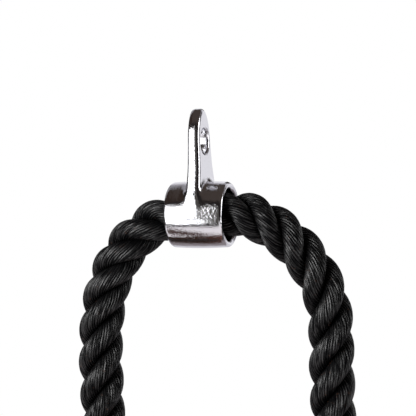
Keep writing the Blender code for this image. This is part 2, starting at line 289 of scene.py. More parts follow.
# Where along each half the grooves show on the outer side, read off the photograph
GROOVES = {
    "right": [0.0250, 0.0449, 0.0664, 0.0887, 0.1123],
    "left": [0.0463, 0.0686, 0.0907, 0.1130],
}
PITCHES_INSIDE = 3
PITCHES_BELOW = 20


def smooth_route(knots, first_way, last_way):
    """Points read from one smooth curve through the knots, with the ways at its two ends."""
    knots = np.array(knots)
    runs = np.linalg.norm(np.diff(knots, axis=0), axis=1)
    slopes = np.diff(knots, axis=0) / runs[:, None]
    count = len(knots)
    rows = np.zeros((count, count))
    sums = np.zeros((count, 2))
    rows[0, 0], rows[0, 1] = 2 * runs[0], runs[0]
    sums[0] = 6 * (slopes[0] - np.array(first_way))
    for i in range(1, count - 1):
        rows[i, i - 1 : i + 2] = runs[i - 1], 2 * (runs[i - 1] + runs[i]), runs[i]
        sums[i] = 6 * (slopes[i] - slopes[i - 1])
    rows[-1, -2], rows[-1, -1] = runs[-1], 2 * runs[-1]
    sums[-1] = 6 * (np.array(last_way) - slopes[-1])
    bends = np.linalg.solve(rows, sums)
    starts = np.concatenate(([0], np.cumsum(runs)))
    points = []
    for at in np.linspace(0, starts[-1], CURVE_POINTS):
        i = min(int(np.searchsorted(starts, at, side="right")) - 1, count - 2)
        ahead, behind, run = starts[i + 1] - at, at - starts[i], runs[i]
        points.append(
            bends[i] * ahead**3 / (6 * run)
            + bends[i + 1] * behind**3 / (6 * run)
            + (knots[i] / run - bends[i] * run / 6) * ahead
            + (knots[i + 1] / run - bends[i + 1] * run / 6) * behind
        )
    return np.array(points)


def rope_half(side, sign):
    """Centreline of one half, evenly stepped: distance, outwards, upwards, and its direction."""
    tilt = np.array(BORE_TILT[1]) - np.array(BORE_TILT[0])
    way = tilt / np.linalg.norm(tilt) * np.array((1, sign))
    middle = (np.array(BORE_TILT[0]) + np.array(BORE_TILT[1])) / 2
    joint = middle + way * (COLLAR_LENGTH / 2 + JOINT_OUTSIDE) / way[0]
    square_end = joint + way * SQUARE_RUN
    bend = smooth_route([square_end] + ROUTES[side], way, (0, -1))
    line = np.concatenate(([middle, joint], bend))
    bend_length = np.linalg.norm(np.diff(line, axis=0), axis=1).sum()
    foot = bend[-1] - np.array((0, ROPE_LENGTH / 2 - bend_length))
    line = np.concatenate((line, [foot]))
    lengths = np.concatenate(([0], np.cumsum(np.linalg.norm(np.diff(line, axis=0), axis=1))))
    along = np.linspace(0, lengths[-1], round(lengths[-1] / ROPE_STEP) + 1)
    route = np.stack([np.interp(along, lengths, line[:, i]) for i in (0, 1)], axis=1)
    ways = np.gradient(route, along, axis=0)
    ways /= np.linalg.norm(ways, axis=1)[:, None]
    return along, route, ways, joint


def laid_rope():
    """The tree that lays three yarn-ridged strands round a path."""
    tree = bpy.data.node_groups.new("laid_rope", "GeometryNodeTree")
    tree.interface.new_socket("Path", in_out="INPUT", socket_type="NodeSocketGeometry")
    for name, kind, _ in LAY_INPUTS + [("Finish", "Material", None)]:
        tree.interface.new_socket(name, in_out="INPUT", socket_type="NodeSocket" + kind)
    tree.interface.new_socket("Rope", in_out="OUTPUT", socket_type="NodeSocketGeometry")
    sizes = add_node(tree, "NodeGroupInput").outputs

    # What the points carry with them, read back where it is needed
    values = dict(sizes.items())
    for name, kind in LAY_LAYERS + [("hollow", "FLOAT")]:
        carried = add_node(tree, "GeometryNodeInputNamedAttribute", {"Name": name}, data_type=kind)
        values[name] = carried.outputs[0]
    tangent = add_node(tree, "GeometryNodeInputTangent").outputs[0]
    here = add_node(tree, "GeometryNodeInputPosition").outputs[0]
    spline = add_node(tree, "GeometryNodeSplineParameter").outputs
    number, vector = {"data_type": "FLOAT"}, {"data_type": "FLOAT_VECTOR"}

    def through(geometry, *steps):
        """Lead a geometry through a row of nodes, each with its inputs and settings."""
        for kind, inputs, settings in steps:
            step = add_node(tree, "GeometryNode" + kind, {0: geometry, **inputs}, **settings)
            geometry = step.outputs[0]
        return geometry

    # The path, with its direction and length at each point, copied once for each strand
    path = through(
        sizes["Path"],
        ("MeshToCurve", {}, {}),
        ("StoreNamedAttribute", {"Name": "rope_way", "Value": tangent}, vector),
        ("StoreNamedAttribute", {"Name": "rope_length", "Value": spline["Length"]}, number),
    )
    copies = add_node(
        tree,
        "GeometryNodeDuplicateElements",
        {"Geometry": path, "Amount": sizes["Strands"]},
        domain="SPLINE",
    )
    values["copy"] = copies.outputs["Duplicate Index"]

    # How far a point of a strand is from the strand's middle, upright and sideways
    spoke = add_node(
        tree, "ShaderNodeVectorMath", {0: here, 1: values["strand_middle"]}, operation="SUBTRACT"
    ).outputs[0]
    reach = add_node(tree, "ShaderNodeVectorMath", {0: spoke}, operation="LENGTH")
    values["reach"] = reach.outputs["Value"]
    for name, way in (("up", "upright"), ("over", "sideways")):
        part = add_node(
            tree, "ShaderNodeVectorMath", {0: spoke, 1: values[way]}, operation="DOT_PRODUCT"
        )
        values[name] = part.outputs["Value"]

    # The sums: a name for the result, the operation, and one or two numbers or earlier names
    for name, operation, *terms in (
        # the strand's place round the rope, and its yarns' turn against the lay
        ("share", "DIVIDE", "copy", "Strands"),
        ("share turn", "MULTIPLY", "share", math.tau),
        ("turn", "ADD", "share turn", "lay_angle"),
        ("back twist", "MULTIPLY", "Yarn twist", -1),
        ("twist", "MULTIPLY", "lay_angle", "back twist"),
        # the round section, with four points and one ridge to a yarn
        ("ring points", "MULTIPLY", "Yarns", 4),
        ("yarns passed", "MULTIPLY", "round", "Yarns"),
        ("phase", "MULTIPLY", "yarns passed", math.tau),
        ("wave", "COSINE", "phase"),
        ("fall", "SUBTRACT", 1.0, "wave"),
        ("half fall", "MULTIPLY", "fall", 0.5),
        ("groove", "POWER", "half fall", 3.0),
        ("dip", "MULTIPLY", "hollow", "Yarn depth"),
        ("ridge", "SUBTRACT", 1.0, "dip"),
        # the strands press on each other, which squares their round section a little
        ("narrow", "DIVIDE", "Strand height", "Strand width"),
        ("up share", "DIVIDE", "up", "reach"),
        ("up size", "ABSOLUTE", "up share"),
        ("over share", "DIVIDE", "over", "reach"),
        ("over narrow", "MULTIPLY", "over share", "narrow"),
        ("over size", "ABSOLUTE", "over narrow"),
        ("up power", "POWER", "up size", "Strand fullness"),
        ("over power", "POWER", "over size", "Strand fullness"),
        ("both", "ADD", "up power", "over power"),
        ("root", "DIVIDE", -1.0, "Strand fullness"),
        ("swell", "POWER", "both", "root"),
        # where each point lies round its strand, for the fibres
        ("angle", "MULTIPLY", "round", math.tau),
        ("angle cosine", "COSINE", "angle"),
        ("angle sine", "SINE", "angle"),
        ("across", "MULTIPLY", "angle cosine", "Strand height"),
        ("beside", "MULTIPLY", "angle sine", "Strand height"),
    ):
        inputs = {i: values.get(term, term) for i, term in enumerate(terms)}
        values[name] = add_node(tree, "ShaderNodeMath", inputs, operation=operation).outputs[0]

    # Vectors in the same way: the strand's place on its copy of the path, and back to its skin
    values.update({"tangent": tangent, "here": here, "spoke": spoke})
    for name, operation, first, second in (
        ("offset", "SCALE", "out", "Strand offset"),
        ("crossed", "CROSS_PRODUCT", "tangent", "out"),
        ("upright way", "CROSS_PRODUCT", "sideways", "tangent"),
        ("ridged", "SCALE", "here", "ridge"),
        ("swollen", "SCALE", "spoke", "swell"),
        ("pressed", "ADD", "strand_middle", "swollen"),
    ):
        inputs = {0: values[first], "Scale" if operation == "SCALE" else 1: values[second]}
        result = add_node(tree, "ShaderNodeVectorMath", inputs, operation=operation)
        values[name] = result.outputs[0]
    sideways = add_node(
        tree, "ShaderNodeVectorMath", {0: values["crossed"]}, operation="NORMALIZE"
    ).outputs[0]
    out = add_node(
        tree,
        "ShaderNodeVectorRotate",
        {"Vector": values["outer"], "Axis": values["rope_way"], "Angle": values["turn"]},
        rotation_type="AXIS_ANGLE",
    ).outputs[0]
    grain = add_node(
        tree,
        "ShaderNodeCombineXYZ",
        {0: values["across"], 1: values["beside"], 2: values["rope_length"]},
    ).outputs[0]

    # Each strand is pushed out, turned upright and twisted
    strands = through(
        copies.outputs["Geometry"],
        ("StoreNamedAttribute", {"Name": "out", "Value": out}, vector),
        ("SetPosition", {"Offset": values["offset"]}, {}),
        ("StoreNamedAttribute", {"Name": "strand_middle", "Value": here}, vector),
        ("StoreNamedAttribute", {"Name": "sideways", "Value": sideways}, vector),
        ("StoreNamedAttribute", {"Name": "upright", "Value": values["upright way"]}, vector),
        ("SetCurveNormal", {"Normal": values["upright"]}, {"mode": "FREE"}),
        ("SetCurveTilt", {"Tilt": values["twist"]}, {}),
    )

    # The section is a circle that gets its ridges
    circle = add_node(
        tree,
        "GeometryNodeCurvePrimitiveCircle",
        {"Resolution": values["ring points"], "Radius": sizes["Strand height"]},
    )
    section = through(
        circle.outputs[0],
        ("StoreNamedAttribute", {"Name": "round", "Value": spline["Factor"]}, number),
        ("StoreNamedAttribute", {"Name": "hollow", "Value": values["groove"]}, number),
        ("SetPosition", {"Position": values["ridged"]}, {}),
    )

    # The strands' skin
    rope = through(
        strands,
        ("CurveToMesh", {"Profile Curve": section, "Fill Caps": True}, {}),
        ("SetPosition", {"Position": values["pressed"]}, {}),
        ("StoreNamedAttribute", {"Name": "grain", "Value": grain}, vector),
        ("RealizeInstances", {}, {}),
        ("SetMaterial", {"Material": sizes["Finish"]}, {}),
    )
    add_node(tree, "NodeGroupOutput", {"Rope": rope})
    return tree


def laid_nylon():
    """Black filament nylon: each yarn is a bundle of bright fibres, dark in its hollows."""
    finish, tree, shader, place = new_finish("laid_nylon")
    grain = add_node(tree, "ShaderNodeAttribute", attribute_name="grain").outputs["Vector"]
    hollow = add_node(tree, "ShaderNodeAttribute", attribute_name="hollow").outputs["Fac"]
    # Fibres of about 0.3 mm, drawn out along the yarn, and tufts of them that catch the light
    drawn = add_node(
        tree, "ShaderNodeVectorMath", {0: grain, 1: (1, 1, 0.16)}, operation="MULTIPLY"
    )
    fibres, tufts = [
        add_node(
            tree,
            "ShaderNodeTexNoise",
            {"Vector": drawn.outputs[0], "Scale": scale, "Detail": 2, "Roughness": 0.6},
        )
        for scale in (3000, 1100)
    ]
    bump = add_node(tree, "ShaderNodeBump", {"Height": fibres.outputs["Fac"], "Distance": 0.0003})
    tree.links.new(bump.outputs["Normal"], shader.inputs["Normal"])
    # A few sun-browned fibres
    specks = add_node(
        tree, "ShaderNodeTexNoise", {"Vector": place, "Scale": 260, "Detail": 3, "Roughness": 0.75}
    )
    few = add_node(
        tree,
        "ShaderNodeMapRange",
        {"Value": specks.outputs["Fac"], "From Min": 0.64, "From Max": 0.74},
    )
    speckled = add_node(
        tree,
        "ShaderNodeMix",
        {"Factor": few.outputs["Result"], "A": to_linear("#060607"), "B": to_linear("#3A261C")},
        data_type="RGBA",
    )
    tree.links.new(speckled.outputs["Result"], shader.inputs["Base Color"])
    # The gloss comes and goes along the fibres, and is lost between the yarns
    gloss = add_node(
        tree,
        "ShaderNodeMapRange",
        {"Value": tufts.outputs["Fac"], "From Min": 0.42, "From Max": 0.62, "To Min": 0.04},
    )
    open_yarn = add_node(tree, "ShaderNodeMath", {0: 1.0, 1: hollow}, operation="SUBTRACT")
    shine = add_node(
        tree, "ShaderNodeMath", {0: gloss.outputs[0], 1: open_yarn.outputs[0]}, operation="MULTIPLY"
    )
    tree.links.new(shine.outputs[0], shader.inputs["Specular IOR Level"])
    rough = add_node(
        tree, "ShaderNodeMapRange", {"Value": fibres.outputs["Fac"], "To Min": 0.25, "To Max": 0.46}
    )
    tree.links.new(rough.outputs["Result"], shader.inputs["Roughness"])
    return finish


rope_tree = laid_rope()
rope_finish = laid_nylon()
ropes = {}
for side, sign in SIDES:
    along, route, ways, joint = rope_half(side, sign)
    outer = np.stack([-ways[:, 1] * sign, 0 * along, ways[:, 0]], axis=1)
    middle_line = np.stack([sign * route[:, 0], 0 * along, route[:, 1] - COLLAR_DROP], axis=1)
    # Grooves are counted from the first seen one, back through the collar and on down the leg
    seen = GROOVES[side]
    inside_pitch = (GROOVES["left"][0] + GROOVES["right"][0]) / PITCHES_INSIDE
    stations = [seen[0] - inside_pitch * PITCHES_INSIDE] + seen
    stations.append(seen[-1] + STRAND_PITCH * PITCHES_BELOW)
    counts = [-PITCHES_INSIDE] + list(range(len(seen))) + [len(seen) - 1 + PITCHES_BELOW]
    pitches = np.interp(along, stations, counts)
    spine = bpy.data.meshes.new("rope_" + side)
    spine.from_pydata(middle_line.tolist(), [(i, i + 1) for i in range(len(along) - 1)], [])
    lay = spine.attributes.new("lay_angle", "FLOAT", "POINT")
    lay_angles = math.tau / 6 + pitches * math.tau / 3
    lay.data.foreach_set("value", lay_angles.astype(np.float32))
    outer_ways = spine.attributes.new("outer", "FLOAT_VECTOR", "POINT")
    outer_ways.data.foreach_set("vector", outer.astype(np.float32).ravel())
    rope = put("rope_" + side, spine)
    laid = rope.modifiers.new("Lay", "NODES")
    laid.node_group = rope_tree
    for name, _, value in LAY_INPUTS + [("Finish", "Material", rope_finish)]:
        laid[rope_tree.interface.items_tree[name].identifier] = value
    laid_mesh = bpy.data.meshes.new_from_object(
        rope.evaluated_get(bpy.context.evaluated_depsgraph_get())
    )
    rope.modifiers.clear()
    rope.data = laid_mesh
    # Of what the points carried, the finish needs only the grain and the hollows
    for name, _ in LAY_LAYERS:
        layer = laid_mesh.attributes.get(name)
        if layer:
            laid_mesh.attributes.remove(layer)
    laid_mesh.shade_smooth()
    ropes[side] = (rope, middle_line, joint, lay_angles)

for side, sign in SIDES:
    rope, middle_line, joint, _ = ropes[side]
    if side == "left":
        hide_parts("left_rope", "rope_in_collar")
    else:
        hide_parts("right_rope")
    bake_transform(rope)


# Shrink sleeves: a length of black heat-shrink tube over each rope end, which keeps the three
# strands together. Shrunk hot, it sinks a little between the strands where it shows above the
# stopper, and its cut top edge hugs the rope.
POCKET_DEPTH = 0.0130
STOPPER_HEIGHT = 0.0520
SLEEVE_RADIUS = 0.0165
SLEEVE_WALL = 0.0009
SLEEVE_TOP = 0.0740
SLEEVE_SINK = 0.0009
SINK_LEAD = 0.0010
SINK_RUN = 0.0050
VALLEY_SHARPNESS = 1.4
SLEEVE_TUCK = 0.0004
TUCK_RUN = 0.0030
CUT_WANDER = 0.0003
SLEEVE_AROUND = 120
SLEEVE_ROWS = 110
END_STEPS = 150
SHARP_ANGLE = math.radians(38)


def turned(name, radii, heights, angles, foot, ring):
    """A mesh turned about a leg, from radii and heights by row and angle, a ring or with poles."""
    radii, heights, angles = np.broadcast_arrays(radii, heights, angles)
    rows, around = radii.shape
    x = foot.x + radii * np.cos(angles)
    y = foot.y + radii * np.sin(angles)
    points = np.stack([x, y, foot.z + heights], axis=2).reshape(-1, 3).tolist()
    faces = []
    for i in range(rows if ring else rows - 1):
        for j in range(around):
            here, above = i * around, (i + 1) % rows * around
            beside = (j + 1) % around
            faces.append((here + j, here + beside, above + beside, above + j))
    ups = heights.ravel().tolist()
    if not ring:
        points += [(foot.x, foot.y, foot.z + heights[i].mean()) for i in (0, -1)]
        ups += [heights[0].mean(), heights[-1].mean()]
        last = (rows - 1) * around
        for j in range(around):
            beside = (j + 1) % around
            faces.append((rows * around, beside, j))
            faces.append((rows * around + 1, last + j, last + beside))
    mesh = bpy.data.meshes.new(name)
    mesh.from_pydata(points, [], faces)
    up = mesh.attributes.new("up", "FLOAT", "POINT")
    up.data.foreach_set("value", np.array(ups, dtype=np.float32))
    mesh.shade_smooth()
    mesh.set_sharp_from_angle(angle=SHARP_ANGLE)
    return put(name, mesh)


def shrunk_tube():
    """Heat-shrunk tube: black, half glossy, with fine lines drawn along it by the die."""
    finish, tree, shader, place = new_finish("shrunk_tube")
    drawn = add_node(
        tree, "ShaderNodeVectorMath", {0: place, 1: (1, 1, 0.04)}, operation="MULTIPLY"
    )
    lines = add_node(
        tree, "ShaderNodeTexNoise", {"Vector": drawn.outputs[0], "Scale": 1400, "Detail": 2}
    )
    cloud = add_node(tree, "ShaderNodeTexNoise", {"Vector": place, "Scale": 140, "Detail": 3})
    tint = add_node(
        tree,
        "ShaderNodeMix",
        {"Factor": cloud.outputs["Fac"], "A": to_linear("#0C0C0D"), "B": to_linear("#1A1A1B")},
        data_type="RGBA",
    )
    tree.links.new(tint.outputs["Result"], shader.inputs["Base Color"])
    rough = add_node(
        tree, "ShaderNodeMapRange", {"Value": lines.outputs["Fac"], "To Min": 0.27, "To Max": 0.44}
    )
    tree.links.new(rough.outputs["Result"], shader.inputs["Roughness"])
    soft = add_node(tree, "ShaderNodeBump", {"Height": cloud.outputs["Fac"], "Distance": 0.00025})
    bump = add_node(
        tree,
        "ShaderNodeBump",
        {"Height": lines.outputs["Fac"], "Distance": 0.00004, "Normal": soft.outputs[0]},
    )
    tree.links.new(bump.outputs["Normal"], shader.inputs["Normal"])
    return finish


tube_finish = shrunk_tube()
leg_feet = {}
for side, sign in SIDES:
    low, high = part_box(side + "_stopper")
    foot = Vector(((low[0] + high[0]) / 2, 0, low[2]))
    leg_feet[side] = foot
    _, middle_line, _, lay_angles = ropes[side]
    angles = np.linspace(0, math.tau, SLEEVE_AROUND, endpoint=False)
    rise = np.linspace(POCKET_DEPTH, SLEEVE_TOP, SLEEVE_ROWS)
    # The strands' crests turn round the leg as they climb its straight end
    leg = middle_line[-END_STEPS:][::-1, 2]
    crest = np.interp(foot.z + rise, leg, lay_angles[-END_STEPS:][::-1])
    crest = (0 if sign > 0 else math.pi) - crest
    valley = (0.5 - 0.5 * np.cos(3 * (angles[None, :] - crest[:, None]))) ** VALLEY_SHARPNESS
    shown = np.clip((rise - STOPPER_HEIGHT + SINK_LEAD) / SINK_RUN, 0, 1)
    shown = shown * shown * (3 - 2 * shown)
    tucked = np.clip((rise - SLEEVE_TOP + TUCK_RUN) / TUCK_RUN, 0, 1) ** 2
    outside = SLEEVE_RADIUS - SLEEVE_SINK * valley * shown[:, None] - SLEEVE_TUCK * tucked[:, None]
    wander = CUT_WANDER * (np.sin(2 * angles + sign) + 0.5 * np.sin(5 * angles))
    height = rise[:, None] + wander[None, :] * tucked[:, None]
    lip = SLEEVE_WALL / 2
    radii = np.concatenate((outside, outside[-1:] - lip, outside[::-1] - SLEEVE_WALL))
    heights = np.concatenate((height, height[-1:] + lip / 2, height[::-1]))
    sleeve = turned("shrink_sleeve_" + side, radii, heights, angles, foot, True)
    sleeve.data.materials.append(tube_finish)
    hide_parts(side + "_shrink_sleeve")
    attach(sleeve, side + "_leg")


# Stoppers: a moulded rubber ball with a neck on each rope end, which the hands pull against.
# A two-part mould leaves a fine line down both sides, and the ball is pebbled for grip. The rope
# goes in from the top, and a wider pocket in the foot takes the washer, the screw and the cap.
STOPPER_SKIN = [
    (0.0262, 0.0000),
    (0.0282, 0.0007),
    (0.0293, 0.0024),
    (0.0298, 0.0052),
    (0.0300, 0.0095),
    (0.0297, 0.0140),
    (0.0287, 0.0185),
    (0.0270, 0.0228),
    (0.0249, 0.0268),
    (0.0230, 0.0310),
    (0.0216, 0.0355),
    (0.0208, 0.0400),
    (0.0206, 0.0440),
    (0.0213, 0.0458),
    (0.0218, 0.0478),
    (0.0216, 0.0500),
    (0.0206, 0.0515),
    (0.0192, 0.0520),
]
STOPPER_BORE = 0.0168
POCKET_RADIUS = 0.0216
MOUTH_CHAMFER = 0.0007
PARTING_LINE_WIDTH = 0.0009
PARTING_LINE_HEIGHT = 0.0002
STOPPER_AROUND = 180
ROW_STRIDE = 7


def moulded_rubber():
    """Black moulded rubber: matt, pebbled on the ball, scuffed grey where it meets the floor."""
    finish, tree, shader, place = new_finish("moulded_rubber")
    up = add_node(tree, "ShaderNodeAttribute", attribute_name="up").outputs["Fac"]
    # The pebbled band fades out above the foot and below the neck
    rising = add_node(
        tree, "ShaderNodeMapRange", {"Value": up, "From Min": 0.0030, "From Max": 0.0050}
    )
    falling = add_node(
        tree,
        "ShaderNodeMapRange",
        {"Value": up, "From Min": 0.0300, "From Max": 0.0330, "To Min": 1, "To Max": 0},
    )
    band = add_node(
        tree, "ShaderNodeMath", {0: rising.outputs[0], 1: falling.outputs[0]}, operation="MULTIPLY"
    )
    pebbles = add_node(
        tree,
        "ShaderNodeTexVoronoi",
        {"Vector": place, "Scale": 850, "Smoothness": 0.6},
        feature="SMOOTH_F1",
    )
    domed = add_node(
        tree,
        "ShaderNodeMapRange",
        {"Value": pebbles.outputs[0], "From Min": 0.1, "From Max": 0.7, "To Min": 1, "To Max": 0},
    )
    raised = add_node(
        tree, "ShaderNodeMath", {0: domed.outputs[0], 1: band.outputs[0]}, operation="MULTIPLY"
    )
    grit = add_node(
        tree, "ShaderNodeTexNoise", {"Vector": place, "Scale": 2600, "Detail": 3, "Roughness": 0.6}
    )
    coarse = add_node(tree, "ShaderNodeBump", {"Height": raised.outputs[0], "Distance": 0.00016})
    fine = add_node(
        tree,
        "ShaderNodeBump",
        {"Height": grit.outputs["Fac"], "Distance": 0.00005, "Normal": coarse.outputs[0]},
    )
    tree.links.new(fine.outputs["Normal"], shader.inputs["Normal"])
    # A faint bloom in patches, and scuffs on the foot
    bloom = add_node(
        tree, "ShaderNodeTexNoise", {"Vector": place, "Scale": 75, "Detail": 4, "Roughness": 0.6}
    )
    tint = add_node(
        tree,
        "ShaderNodeMix",
        {"Factor": bloom.outputs["Fac"], "A": to_linear("#111111"), "B": to_linear("#1E1D1D")},
        data_type="RGBA",
    )
    low_down = add_node(
        tree,
        "ShaderNodeMapRange",
        {"Value": up, "From Min": 0.0, "From Max": 0.0022, "To Min": 1, "To Max": 0},
    )
    scuffs = add_node(
        tree, "ShaderNodeTexNoise", {"Vector": place, "Scale": 700, "Detail": 4, "Roughness": 0.7}
    )
    worn = add_node(
        tree,
        "ShaderNodeMapRange",
        {"Value": scuffs.outputs["Fac"], "From Min": 0.48, "From Max": 0.62},
    )
    scuffed = add_node(
        tree, "ShaderNodeMath", {0: low_down.outputs[0], 1: worn.outputs[0]}, operation="MULTIPLY"
    )
    mixed = add_node(
        tree,
        "ShaderNodeMix",
        {"Factor": scuffed.outputs[0], "A": tint.outputs["Result"], "B": to_linear("#3A3836")},
        data_type="RGBA",
    )
    tree.links.new(mixed.outputs["Result"], shader.inputs["Base Color"])
    rough = add_node(
        tree, "ShaderNodeMapRange", {"Value": bloom.outputs["Fac"], "To Min": 0.48, "To Max": 0.70}
    )
    tree.links.new(rough.outputs["Result"], shader.inputs["Roughness"])
    shader.inputs["Specular IOR Level"].default_value = 0.4
    return finish


rubber_finish = moulded_rubber()
skin_rows = smooth_route(STOPPER_SKIN, (0.97, 0.24), (-0.97, 0.24))[::ROW_STRIDE]
inner_rows = [
    (STOPPER_BORE + MOUTH_CHAMFER, STOPPER_HEIGHT),
    (STOPPER_BORE, STOPPER_HEIGHT - MOUTH_CHAMFER),
    (STOPPER_BORE, POCKET_DEPTH),
    (POCKET_RADIUS, POCKET_DEPTH),
    (POCKET_RADIUS, MOUTH_CHAMFER),
    (POCKET_RADIUS + MOUTH_CHAMFER, 0),
]
stopper_rows = np.concatenate((skin_rows, inner_rows))
# Angles closer together at the two parting lines, where the skin stands a little proud
widest = max(radius for radius, up in STOPPER_SKIN)
near_line = np.array([-1, -0.5, 0.5, 1]) * PARTING_LINE_WIDTH / 2 / widest
angles = np.linspace(0, math.tau, STOPPER_AROUND, endpoint=False)
angles = np.sort(np.concatenate((angles, near_line % math.tau, near_line + math.pi)))
off_line = np.abs((angles + math.pi / 2) % math.pi - math.pi / 2) * widest
proud = PARTING_LINE_HEIGHT * np.clip(1 - off_line / (PARTING_LINE_WIDTH / 2), 0, 1)
radii = np.repeat(stopper_rows[:, :1], len(angles), axis=1)
radii[: len(skin_rows)] += proud
for side, sign in SIDES:
    stopper = turned(
        "stopper_" + side, radii, stopper_rows[:, 1:], angles, leg_feet[side], True
    )
    stopper.data.materials.append(rubber_finish)
    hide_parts(side + "_stopper")
    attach(stopper, side + "_leg")

    # The rope hangs from the collar's mouth to this stopper, which is the fitting on its end; its
    # half is only read back here, and nothing more is done with it
    rope, middle_line, _, _ = ropes[side]


# Washers and screws: a zinc-plated coach screw is driven up the middle of each rope end and holds
# a thick washer against the end and the stopper's shoulder. The thread is rolled, its tip tapers,
# and the round head has a hexagonal socket for the key.
HEAD_BOTTOM = 0.0054
HEAD_TOP = 0.0099
HEAD_RADIUS = 0.0075
HEAD_ROUND = 0.0012
SOCKET_RADIUS = 0.0029
SOCKET_DEPTH = 0.0025
THREAD_START = 0.0170
THREAD_PITCH = 0.0026
THREAD_CREST = 0.0038
THREAD_ROOT = 0.0029
RIDGE_PEAK = 1.15
RIDGE_SLOPE = 1.9
EDGE_BREAK = 0.0003
NECK_FILLET = 0.0006
NECK_RISE = 0.0002
SCREW_TIP = 0.0627
SCREW_POINT = 0.0070
POINT_LEAST = 0.14
POINT_FULLNESS = 0.7
SCREW_AROUND = 48
SCREW_ROWS = 176


def zinc_plate():
    """Zinc plate: a soft metal sheen with faint blue and yellow clouds and tumbling marks."""
    finish, tree, shader, place = new_finish("zinc_plate")
    shader.inputs["Metallic"].default_value = 1
    clouds = add_node(tree, "ShaderNodeTexNoise", {"Vector": place, "Scale": 190, "Detail": 3})
    tint = add_node(
        tree,
        "ShaderNodeMix",
        {"Factor": clouds.outputs["Fac"], "A": to_linear("#A9AEB8"), "B": to_linear("#C6C2B2")},
        data_type="RGBA",
    )
    tree.links.new(tint.outputs["Result"], shader.inputs["Base Color"])
    marks = add_node(
        tree, "ShaderNodeTexNoise", {"Vector": place, "Scale": 2400, "Detail": 3, "Roughness": 0.65}
    )
    rough = add_node(
        tree, "ShaderNodeMapRange", {"Value": marks.outputs["Fac"], "To Min": 0.24, "To Max": 0.46}
    )
    tree.links.new(rough.outputs["Result"], shader.inputs["Roughness"])
    bump = add_node(tree, "ShaderNodeBump", {"Height": marks.outputs["Fac"], "Distance": 0.00003})
    tree.links.new(bump.outputs["Normal"], shader.inputs["Normal"])
    return finish


zinc_finish = zinc_plate()
angles = np.linspace(0, math.tau, SCREW_AROUND, endpoint=False)
# Socket's hexagon, its radius by angle
flat_turn = math.tau / 6
hexagon = math.cos(flat_turn / 2) / np.cos(angles % flat_turn - flat_turn / 2)
round_turns = np.linspace(0, math.pi / 2, 5)
head_rows = [
    (SOCKET_RADIUS * hexagon, HEAD_BOTTOM + SOCKET_DEPTH),
    (SOCKET_RADIUS * hexagon, HEAD_BOTTOM + EDGE_BREAK),
    (SOCKET_RADIUS * hexagon + EDGE_BREAK, HEAD_BOTTOM),
]
for turn in round_turns:
    edge_radius = HEAD_RADIUS - HEAD_ROUND + HEAD_ROUND * math.sin(turn)
    edge_height = HEAD_BOTTOM + HEAD_ROUND - HEAD_ROUND * math.cos(turn)
    head_rows.append((edge_radius + 0 * angles, edge_height))
head_rows += [
    (HEAD_RADIUS + 0 * angles, HEAD_TOP - EDGE_BREAK),
    (HEAD_RADIUS - EDGE_BREAK + 0 * angles, HEAD_TOP),
    (THREAD_ROOT + NECK_FILLET + 0 * angles, HEAD_TOP),
]
rise = np.linspace(HEAD_TOP + NECK_RISE, SCREW_TIP, SCREW_ROWS)
# Each row's thread is turned a little from the last, which makes the helix
climb = (rise[:, None] / THREAD_PITCH - angles[None, :] / math.tau) % 1
ridge = np.clip(RIDGE_PEAK - np.abs(2 * climb - 1) * RIDGE_SLOPE, 0, 1)
ridge *= np.clip((rise - THREAD_START) / THREAD_PITCH, 0, 1)[:, None]
taper = np.clip((SCREW_TIP - rise) / SCREW_POINT, POINT_LEAST, 1) ** POINT_FULLNESS
threaded = (THREAD_ROOT + (THREAD_CREST - THREAD_ROOT) * ridge) * taper[:, None]
radii = np.concatenate((np.array([row[0] for row in head_rows]), threaded))
heights = np.concatenate(([row[1] for row in head_rows], rise))[:, None]
for side, foot in leg_feet.items():
    screw = turned("screw_" + side, radii, heights, angles, foot, False)
    screw.data.materials.append(zinc_finish)
    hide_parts(side + "_screw")
    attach(screw, side + "_leg")
    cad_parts[side + "_washer"].material_slots[0].material = zinc_finish


# End caps: a black moulded disc pressed into each stopper's foot, over the screw. Its face is
# dished, with three turned rings from the mould and a small sunk gate mark in the middle.
CAP_INSET = 0.0010
CAP_THICKNESS = 0.0030
CAP_RADIUS = 0.0213
CAP_ROUND = 0.0007
DISH_RADIUS = 0.0130
DISH_DEPTH = 0.0008
RING_RADII = [0.0050, 0.0080, 0.0110]
RING_WIDTH = 0.0006
RING_DEPTH = 0.0003
GATE_RADIUS = 0.0012
CAP_AROUND = 120


def moulded_plastic():
    """Black moulded nylon: the fine even grain of a spark-eroded mould."""
    finish, tree, shader, place = new_finish("moulded_plastic")
    grain = add_node(
        tree, "ShaderNodeTexNoise", {"Vector": place, "Scale": 3600, "Detail": 2, "Roughness": 0.7}
    )
    flow = add_node(tree, "ShaderNodeTexNoise", {"Vector": place, "Scale": 90, "Detail": 3})
    tint = add_node(
        tree,
        "ShaderNodeMix",
        {"Factor": flow.outputs["Fac"], "A": to_linear("#141415"), "B": to_linear("#222223")},
        data_type="RGBA",
    )
    tree.links.new(tint.outputs["Result"], shader.inputs["Base Color"])
    rough = add_node(
        tree, "ShaderNodeMapRange", {"Value": grain.outputs["Fac"], "To Min": 0.38, "To Max": 0.60}
    )
    tree.links.new(rough.outputs["Result"], shader.inputs["Roughness"])
    bump = add_node(tree, "ShaderNodeBump", {"Height": grain.outputs["Fac"], "Distance": 0.00005})
    tree.links.new(bump.outputs["Normal"], shader.inputs["Normal"])
    return finish


